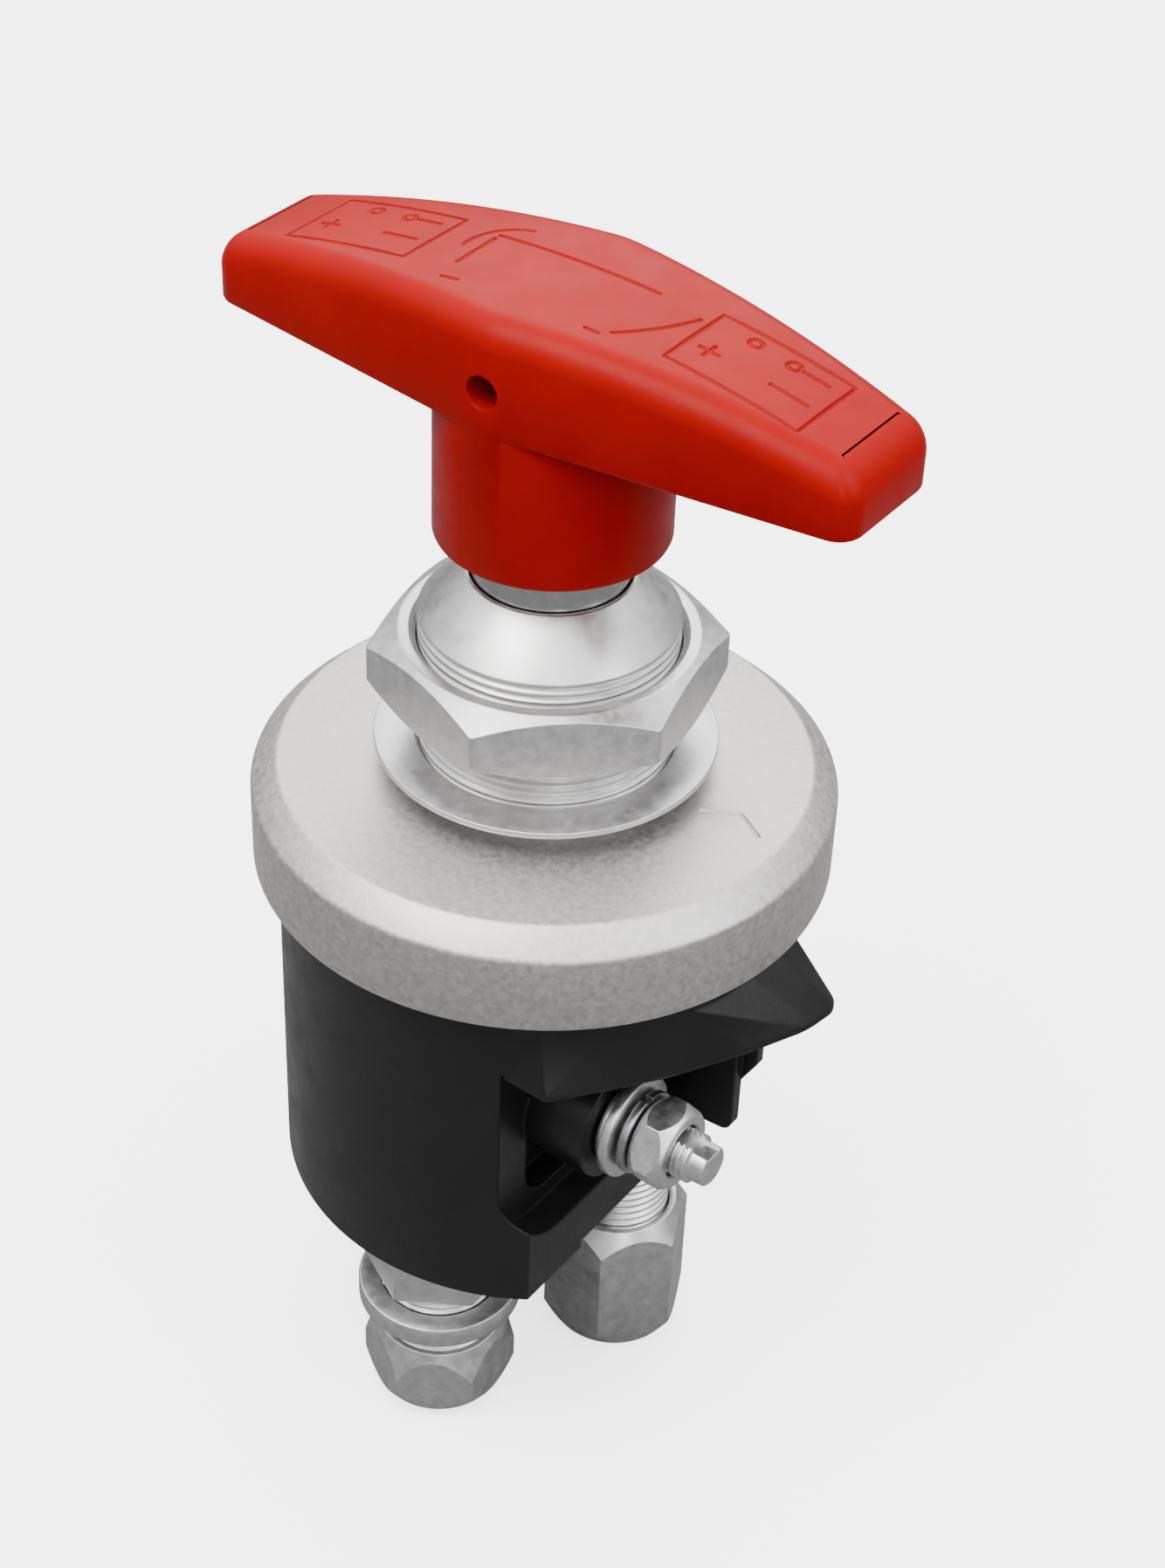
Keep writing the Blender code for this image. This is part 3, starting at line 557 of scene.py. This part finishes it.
def arc(start, through, end, steps=14):
    """Plan points on the circle through three points."""
    (ax, ay), (bx, by), (cx, cy) = start, through, end
    d = 2 * (ax * (by - cy) + bx * (cy - ay) + cx * (ay - by))
    ux = ((ax * ax + ay * ay) * (by - cy) + (bx * bx + by * by) * (cy - ay)
          + (cx * cx + cy * cy) * (ay - by)) / d
    uy = ((ax * ax + ay * ay) * (cx - bx) + (bx * bx + by * by) * (ax - cx)
          + (cx * cx + cy * cy) * (bx - ax)) / d
    r = math.hypot(ax - ux, ay - uy)
    a0 = math.atan2(ay - uy, ax - ux)
    a1 = math.atan2(by - uy, bx - ux)
    a2 = math.atan2(cy - uy, cx - ux)
    ccw = ((a1 - a0) % (2 * math.pi)) < ((a2 - a0) % (2 * math.pi))
    sweep = (a2 - a0) % (2 * math.pi) if ccw else -((a0 - a2) % (2 * math.pi))
    return [(ux + r * math.cos(a0 + sweep * k / steps), uy + r * math.sin(a0 + sweep * k / steps))
            for k in range(steps + 1)]


def make_marks():
    """Generic battery marks: outlined boxes with plus, minus and terminal rings."""
    lines = []
    for shift in (0.0, 64.5):
        x0, x1, y0, y1 = -42.0 + shift, -21.0 + shift, -7.9, 6.4
        lines.append([(x0, y0), (x1, y0), (x1, y1), (x0, y1), (x0, y0)])
        px, py = -38.5 + shift, -2.4
        lines.append([(px - 1.7, py), (px + 1.7, py)])
        lines.append([(px, py - 1.7), (px, py + 1.7)])
        lines.append([(-29.0 + shift, -2.3), (-22.9 + shift, -2.3)])
        lines.append([(-27.7 + shift, 3.6), (-23.2 + shift, 3.6)])
        for cx, cy in ((-35.2 + shift, 3.9), (-28.9 + shift, 3.6)):
            ring = [(cx + 0.95 * math.cos(k * math.pi / 8), cy + 0.95 * math.sin(k * math.pi / 8))
                    for k in range(16)]
            ring.append(ring[0])
            lines.append(ring)
    lines.append([(-13.9, 4.6), (13.5, 4.5)])
    lines.append([(-13.8, 3.7), (-13.6, -5.6)])
    lines.append(arc((-16.3, -0.6), (-15.5, 4.7), (-10.4, 8.3)))
    lines.append([(-12.8, -10.1), (-9.9, -9.8)])
    lines.append(arc((14.3, -8.5), (18.0, -3.4), (21.0, 3.2)))
    lines.append([(10.9, -9.7), (13.3, -9.7)])
    return lines


def make_handle():
    handle = make_grip()
    combine(handle, turned("hub", [(0.0, GRIP_BOTTOM + 4.0), (HUB_R, GRIP_BOTTOM + 4.0),
                                   (HUB_R, HUB_BOTTOM + 0.5), (HUB_R - 0.15, HUB_BOTTOM + 0.15),
                                   (HUB_R - 0.5, HUB_BOTTOM), (0.0, HUB_BOTTOM)],
                           160, closed=False), "UNION")
    cut(handle, rod("bore", 7.3, HUB_BOTTOM - 1.0, 93.0, 64),
        rod("pin_hole", 2.55, -25.0, 25.0, 48, "Y", (0.0, 0.0, PIN_Z)))
    for index, line in enumerate(make_marks()):
        closed = line[0] == line[-1]
        points = on_crown(line, 0.05)
        before = handle.data.copy()
        cut(handle, wire("mark_%d" % index, points[:-1] if closed else points, 0.34, closed))
        if len(handle.data.polygons) < 0.7 * len(before.polygons):
            print("mark left out", index)
            handle.data = before
    finish(handle, "handle_visual", RED, "red_plastic", "handle", "t_handle")


def make_spindle():
    profile = [(0.0, 92.0), (6.4, 92.0), (7.0, 91.4), (7.0, 57.0), (NECK_R - 0.3, 57.0),
               (NECK_R, 56.7), (NECK_R, 39.5), (10.35, 39.5), (10.35, 36.5), (NECK_R, 36.5),
               (NECK_R, 31.5), (10.35, 31.5), (10.35, 28.5), (NECK_R, 28.5), (NECK_R, 6.4),
               (15.0, 6.4), (15.0, 2.8), (5.0, 2.8), (5.0, -9.2), (4.2, -9.2), (4.2, -10.4),
               (5.0, -10.4), (5.0, -12.5), (0.0, -12.5)]
    spindle = turned("spindle_visual", profile, 128, closed=False)
    cut(spindle, rod("cross", 2.2, -12.0, 12.0, 32, "Y", (0.0, 0.0, PIN_Z)))
    finish(spindle, "spindle_visual", SHINY, "steel", "handle", "spindle")
    pin = turned("pin", [(0.0, 11.0), (1.6, 11.0), (1.9, 10.7), (1.9, -10.7), (1.6, -11.0),
                         (0.0, -11.0)], 32, "Y", (0.0, 0.0, PIN_Z), closed=False)
    finish(pin, "cross_pin_visual", DARK, "spring_steel", "handle", "handle_pin")


# ---------------------------------------------------------------- cover and panel hardware
def make_cover():
    profile = [(20.8, 16.7), (40.6, 16.7), (40.95, 16.62), (41.3, 16.4), (44.55, 13.35),
               (44.85, 13.0), (44.98, 12.6), (45.0, 12.2), (45.0, 0.5), (44.85, 0.15),
               (44.5, 0.0), (34.0, 0.0), (34.0, 10.0), (20.8, 10.0)]
    cover = turned("cover", profile, 192)
    chevron = [(26.6, 2.5, 16.75), (32.1, 5.5, 16.75), (37.2, 2.5, 16.75)]
    cut(cover, wire("chevron", chevron, 0.38))
    finish(cover, "cover_visual", CAST, "steel", "housing", "cover_flange")


def make_bushing():
    profile = [(12.15, 50.2), (12.6, 50.2), (12.75, 50.1), (19.3, 43.35)]
    profile += thread_profile(THREAD_R, 43.0, 20.1, 1.5, 0.62)
    profile += [(20.3, 20.1), (20.5, 19.9), (20.5, 9.7), (26.0, 9.7), (26.0, 7.4), (12.15, 7.4)]
    finish(turned("bushing", profile, 160), "collar_visual", TURNED, "steel", "housing",
           "threaded_bushing")


def make_panel_hardware():
    nut = hexagon("nut", 47.2, NUT_Z[0], NUT_Z[1], -18.0, ease=0.5)
    bore = [(0.0, NUT_Z[1] + 1), (21.9, NUT_Z[1] + 1), (19.9, NUT_Z[1] - 1.0),
            (19.9, NUT_Z[0] + 1.0), (21.9, NUT_Z[0] - 1), (0.0, NUT_Z[0] - 1)]
    cut(nut, turned("bore", bore, 128, closed=False))
    finish(nut, "panel_nut_visual", ZINC, "zinc_steel", "panel_nut", "panel_nut", crease=12)
    finish(tube("washer", 26.2, 19.9, 20.4, 21.4, 160, ease=0.15), "panel_washer_visual", ZINC,
           "zinc_steel", "panel_washer", "panel_washer")


# ---------------------------------------------------------------- terminals
def make_terminals():
    at = (0.0, STUD_Y, STUD_Z)
    pieces = []
    profile = [(0.0, STUD_TIP), (3.0, STUD_TIP), (3.25, STUD_TIP - 0.25), (3.35, STUD_TIP - 2.6)]
    profile += thread_profile(STUD_R, STUD_TIP - 2.9, 12.0, 1.0, 0.5)
    profile += [(STUD_R, 0.7), (5.2, 0.7), (5.2, -2.6), (0.0, -2.6)]
    stud = turned("stud", profile, 72, "X", at, closed=False)
    cut(stud, box("keyway", (STUD_TIP - 9.0, STUD_Y - 1.7, STUD_Z + STUD_R - 1.7),
                  (STUD_TIP + 1.0, STUD_Y + 1.7, STUD_Z + STUD_R + 1.0)))
    pieces.append((stud, "stud_visual", ZINC, "zinc_steel", "terminal_stud"))
    low, high = 35.0, 41.2
    nut = hexagon("nut", 13.0, low, high, 34.0, top=(6.1, 2.0), bottom=(6.1, 2.0), axis="X",
                  at=at, ease=0.15)
    bore = [(0.0, high + 1), (5.6, high + 1), (4.3, high - 0.4), (4.3, low + 0.4),
            (5.6, low - 1), (0.0, low - 1)]
    cut(nut, turned("bore", bore, 64, "X", at, closed=False))
    pieces.append((nut, "nut_visual", ZINC, "zinc_steel", "terminal_nut"))
    base = tube("base_washer", 7.0, 4.3, 29.6, 30.7, 96, "X", at, ease=0.2)
    pieces.append((base, "base_washer_visual", ZINC, "zinc_steel", "stud_base_washer"))
    flat = tube("flat", 8.4, 4.3, 31.0, 32.6, 96, "X", at, ease=0.25)
    pieces.append((flat, "flat_washer_visual", ZINC, "zinc_steel", "flat_washer"))
    lock = tube("lock", 6.8, 4.3, 33.4, 34.7, 80, "X", at, ease=0.15)
    cut(lock, box("split", (33.0, STUD_Y - 0.7, STUD_Z), (35.0, STUD_Y + 0.7, STUD_Z + 9.0)))
    pieces.append((lock, "lock_washer_visual", DARK, "spring_steel", "lock_washer"))
    for obj, name, mat, slot, node in pieces:
        other = mirrored(obj, name + "_b")
        crease = 10 if node == "terminal_nut" else 35
        finish(obj, name + "_a", mat, slot, "housing", node + "_a", crease=crease)
        finish(other, name + "_b", mat, slot, "housing", node + "_b", crease=crease)


# ---------------------------------------------------------------- body
def hood_solid():
    rim = rounded_outline([(18.1, -35.9, 0.0), (27.4, -36.2, 1.0), (33.6, -28.0, 40.0),
                           (38.5, -21.2, 40.0), (44.9, -9.7, 60.0), (49.6, 0.8, 14.0),
                           (50.7, 7.8, 3.6), (45.2, 11.4, 4.0), (37.9, 15.5, 0.0),
                           (16.0, 28.0, 0.0)], 8)
    roof = [(23.9, -33.3), (31.5, -25.5), (37.0, -16.8), (40.2, -4.0), (40.2, 4.0), (36.0, 12.0),
            (14.0, 24.0)]
    low, high = HOOD_RIM
    middle = Vector((20.0, 0.0))
    points = []
    for x, y in rim:
        out = (Vector((x, y)) - middle).normalized()
        points += [(x - 0.25 * out.x, y - 0.25 * out.y, low), (x, y, low + 0.3),
                   (x, y, high - 0.15), (x - 0.15 * out.x, y - 0.15 * out.y, high + 0.2),
                   (x - 0.5 * out.x, y - 0.5 * out.y, high + 0.5)]
    points += [(x, y, HOOD_ROOF_Z) for x, y in roof]
    return hull_of("hood", points)


def d_outline(radius, flat):
    """A disc outline cut by a flat towards +X and another towards +Y."""
    count = 144
    out = []
    for k in range(count):
        angle = 2 * math.pi * k / count
        out.append((min(radius * math.cos(angle), flat), min(radius * math.sin(angle), flat)))
    clean = []
    for point in out:
        if not clean or (Vector(point) - Vector(clean[-1])).length > 0.05:
            clean.append(point)
    return clean


def make_body():
    body = rod("body", BODY_R, BODY_BOTTOM, -0.3, 160)

    def both(tool, operation):
        combine(body, mirrored(tool, tool.name + "_b"), operation)
        combine(body, tool, operation)

    both(box("flat", (FLAT_X, -50.0, -70.0), (60.0, 50.0, RECESS_Z[1])), "DIFFERENCE")
    left, right = RECESS_Y
    low, high = RECESS_Z
    outer = rounded_outline([(left, high, 0.0), (left, low, RECESS_CORNER_R),
                             (right, low, RECESS_CORNER_R / 2), (right, high, 0.0)], 12)
    both(prism_from_outline("recess", outer, RECESS_X, 60.0, "YZ"), "DIFFERENCE")
    inner = rounded_outline([(-27.9, high, 0.0), (-27.9, low + 3.0, 6.0),
                             (-12.5, low + 3.0, 3.0), (-12.5, high, 0.0)], 10)
    both(prism_from_outline("well", inner, 14.0, 30.0, "YZ"), "DIFFERENCE")
    both(rod("boss", 9.9, 12.5, 29.2, 96, "X", (0.0, STUD_Y, STUD_Z)), "UNION")
    both(hood_solid(), "UNION")
    fin = rounded_outline([(16.9, -13.0, 0.0), (39.0, -13.0, 0.0), (39.0, -39.3, 2.0),
                           (16.9, -40.5, 0.0)], 8)
    both(prism_from_outline("fin", fin, -1.5, 0.6, "XZ"), "UNION")
    rib = [(16.9, -13.0), (41.6, -13.0), (41.6, -25.0), (37.9, -31.5), (16.9, -38.0)]
    both(prism_from_outline("rib", rib, 0.3, 2.1, "XZ"), "UNION")
    both(rod("stud_bore", STUD_R + 0.3, 8.0, 31.0, 48, "X", (0.0, STUD_Y, STUD_Z)), "DIFFERENCE")
    notch = box("notch", (20.0, -19.4, BODY_BOTTOM - 1.0), (30.0, 19.4, BODY_BOTTOM + 1.4))
    both(notch, "DIFFERENCE")
    cut(body, prism_from_outline("base_seat", d_outline(36.3, 22.3), BODY_BOTTOM - 1.0, -54.0))
    finish(body, "body_visual", BLACK, "black_plastic", "housing", "body_housing", crease=28)


def make_base():
    base = prism_from_outline("base", d_outline(36.0, 22.0), BODY_BOTTOM + 0.3, -54.3)
    cut(base, rod("gland_hole", 8.3, -62.0, -53.0, 64, at=(*GLAND_XY, 0.0)),
        rod("outlet_hole", 6.2, -62.0, -53.0, 64, at=(*OUTLET_XY, 0.0)))
    for index, (x, y) in enumerate(SCREW_XY, 1):
        at = (x, y, 0.0)
        cut(base, turned("screw_seat", [(0.0, -53.0), (1.8, -53.0), (1.8, -57.0), (3.3, -57.0),
                                        (3.3, -59.7), (3.7, -62.0), (0.0, -62.0)], 48, at=at,
                         closed=False))
        screw = turned("screw", [(0.0, -48.0), (1.2, -48.0), (1.2, -57.3), (2.9, -57.3),
                                 (2.9, -59.1), (2.4, -59.5), (0.0, -59.6)], 48, at=at,
                       closed=False)
        cut(screw, hexagon("drive", 2.5, -60.5, -58.4, at=at, ease=0.0))
        finish(screw, "base_screw_visual_%d" % index, ZINC, "zinc_steel", "housing",
               "base_screw_%d" % index)
    finish(bevel(base, 0.25, 2, 40.0), "base_visual", BLACK, "black_plastic", "housing",
           "base_plate")


# ---------------------------------------------------------------- bottom fittings
def make_gland():
    at = (*GLAND_XY, 0.0)
    profile = [(0.0, -54.1), (8.0, -54.1), (8.0, -60.6)]
    profile += thread_profile(9.4, -60.9, -86.0, 1.5, 0.6)
    profile += [(0.0, -86.0)]
    stem = turned("stem", profile, 96, at=at, closed=False)
    combine(stem, hexagon("collar", 22.0, -72.0, -60.4, -28.0, bottom=(12.5, 0.1), at=at), "UNION")
    cut(stem, rod("core", 6.2, -90.0, -45.0, 64, at=at))
    finish(stem, "gland_body_visual", ZINC, "zinc_steel", "housing", "gland_body", crease=12)
    finish(tube("ring", 13.5, 9.7, -79.8, -75.8, 128, at=at, ease=0.5), "gland_ring_visual", ZINC,
           "zinc_steel", "housing", "gland_ring")
    cap = hexagon("cap", 22.0, GLAND_BOTTOM, -85.0, -27.0, top=(10.4, 6.2), bottom=(10.4, 3.6),
                  at=at)
    inside = turned("cap_bore", [(0.0, -84.0), (9.7, -84.0), (9.7, -96.0), (6.0, -96.0),
                                 (6.0, -98.2), (6.5, -100.0), (0.0, -100.0)], 80, at=at,
                    closed=False)
    cut(cap, inside)
    finish(cap, "gland_cap_visual", ZINC, "zinc_steel", "gland_cap", "gland_cap_nut", crease=10)
    seal = tube("seal", 9.3, 3.5, -95.6, -86.3, 80, at=at, ease=0.3)
    finish(seal, "gland_seal_visual", RUBBER, "rubber", "housing", "gland_seal")


def make_outlet():
    at = (*OUTLET_XY, 0.0)
    profile = [(4.4, -54.1), (5.9, -54.1), (5.9, -60.4)]
    profile += thread_profile(8.5, -60.7, -82.0, 1.5, 0.6)
    profile += [(4.4, -82.0)]
    finish(turned("nipple", profile, 96, at=at), "nipple_visual", ZINC, "zinc_steel", "housing",
           "outlet_nipple")
    nut = hexagon("nut", 22.0, OUTLET_BOTTOM, -73.0, -67.0, top=(9.9, 4.4), bottom=(10.7, 3.4),
                  at=at)
    inside = turned("nut_bore", [(0.0, -72.0), (9.5, -72.0), (8.8, -73.6), (8.8, -98.8),
                                 (9.5, -101.0), (0.0, -101.0)], 80, at=at, closed=False)
    cut(nut, inside)
    finish(nut, "coupling_visual", ZINC, "zinc_steel", "coupling", "coupling_nut", crease=10)


make_handle()
make_spindle()
make_cover()
make_bushing()
make_panel_hardware()
make_terminals()
make_body()
make_base()
make_gland()
make_outlet()

FINISH = {"red_plastic": RED, "steel": TURNED, "zinc_steel": ZINC, "black_plastic": BLACK,
          "grey_plastic": GREY, "copper": COPPER, "spring_steel": DARK, "rubber": RUBBER}
for entry in frame["record"]["subparts"]:
    node = frame["nodes"][entry["node"]]
    node.data.materials.clear()
    node.data.materials.append(FINISH[entry["material_slot"]])


# ---------------------------------------------------------------- floor, light and camera
def make_stage():
    bpy.ops.mesh.primitive_plane_add(size=6.0, location=(0.0, 0.0, cad_box[0].z - 0.0005))
    floor = bpy.context.active_object
    floor.name = "floor"
    mat, tree, shader = nodes_of("pale_floor")
    # seen directly the floor is pale; the light it throws back up on the object is held low
    seen = tree.nodes.new("ShaderNodeLightPath").outputs["Is Camera Ray"]
    tree.links.new(ramp(tree, seen, [(0.0, (0.13, 0.13, 0.13)), (1.0, (0.86, 0.86, 0.86))]),
                   shader.inputs["Base Color"])
    tree.links.new(ramp(tree, seen, [(0.0, (0.0, 0.0, 0.0)), (1.0, (1.0, 1.0, 1.0))]),
                   shader.inputs["Emission Color"])
    shader.inputs["Emission Strength"].default_value = 2.0
    shader.inputs["Roughness"].default_value = 0.9
    shader.inputs["Specular IOR Level"].default_value = 0.1
    floor.data.materials.append(mat)
    world = bpy.data.worlds.new("studio")
    bpy.context.scene.world = world
    world.use_nodes = True
    tree = world.node_tree
    coord = tree.nodes.new("ShaderNodeTexCoord")
    split = tree.nodes.new("ShaderNodeSeparateXYZ")
    tree.links.new(coord.outputs["Generated"], split.inputs["Vector"])
    tone = ramp(tree, split.outputs["Z"], [(0.0, (0.05, 0.05, 0.05)), (0.16, (0.10, 0.10, 0.10)),
                                           (0.45, (0.30, 0.30, 0.305)), (0.8, (0.62, 0.62, 0.62))])
    paths = tree.nodes.new("ShaderNodeLightPath")
    mix = tree.nodes.new("ShaderNodeMix")
    mix.data_type = "RGBA"
    tree.links.new(paths.outputs["Is Camera Ray"], mix.inputs["Factor"])
    tree.links.new(tone, mix.inputs[6])
    mix.inputs[7].default_value = (1.0, 1.0, 1.0, 1.0)
    background = tree.nodes["Background"]
    tree.links.new(mix.outputs[2], background.inputs["Color"])
    background.inputs["Strength"].default_value = 6.0


def area(name, azimuth, elevation, distance, size, power, tint=(1.0, 1.0, 1.0)):
    data = bpy.data.lights.new(name, "AREA")
    data.shape = "RECTANGLE"
    data.size, data.size_y = size
    data.energy = power
    data.color = tint
    lamp = link(bpy.data.objects.new(name, data))
    a, e = math.radians(azimuth), math.radians(elevation)
    back = Vector((math.sin(a) * math.cos(e), -math.cos(a) * math.cos(e), math.sin(e)))
    lamp.location = back * distance
    lamp.rotation_mode = "QUATERNION"
    lamp.rotation_quaternion = (-back).to_track_quat("-Z", "Y")


def make_camera():
    """Perspective camera at the photograph's angle, in flange radii about the cover's axis."""
    turn = math.radians(35.28)
    yaw, pitch, roll = math.radians(-0.945), math.radians(37.390), math.radians(2.378)
    ahead = Vector((-math.sin(yaw) * math.cos(pitch), math.cos(yaw) * math.cos(pitch),
                    -math.sin(pitch)))
    right = Vector((math.cos(yaw), math.sin(yaw), 0.0))
    up = right.cross(ahead)
    level = right * math.cos(roll) + up * math.sin(roll)
    upright = up * math.cos(roll) - right * math.sin(roll)
    axes = Matrix((level, upright, -ahead)).transposed()
    spin = Matrix.Rotation(turn, 3, "Z")
    place = spin @ Vector((0.0, -7.822, 6.217)) * (FLANGE_R * MM) - Vector((0.0, 0.0, DATUM * MM))
    data = bpy.data.cameras.new("camera")
    data.lens = 66.11
    data.sensor_width = 36.0
    data.clip_start = 0.01
    data.clip_end = 20.0
    camera = link(bpy.data.objects.new("camera", data))
    camera.matrix_world = Matrix.Translation(place) @ (spin @ axes).to_4x4()
    bpy.context.scene.camera = camera


make_stage()
area("key", -15.0, 60.0, 0.9, (0.5, 0.5), 9.0, (1.0, 0.99, 0.97))
area("fill", 95.0, 32.0, 1.0, (0.3, 0.9), 5.0, (0.97, 0.98, 1.0))
area("front", 48.0, 20.0, 1.2, (0.16, 0.9), 4.0)
area("rim", 215.0, 40.0, 1.0, (0.8, 0.6), 5.0)
make_camera()
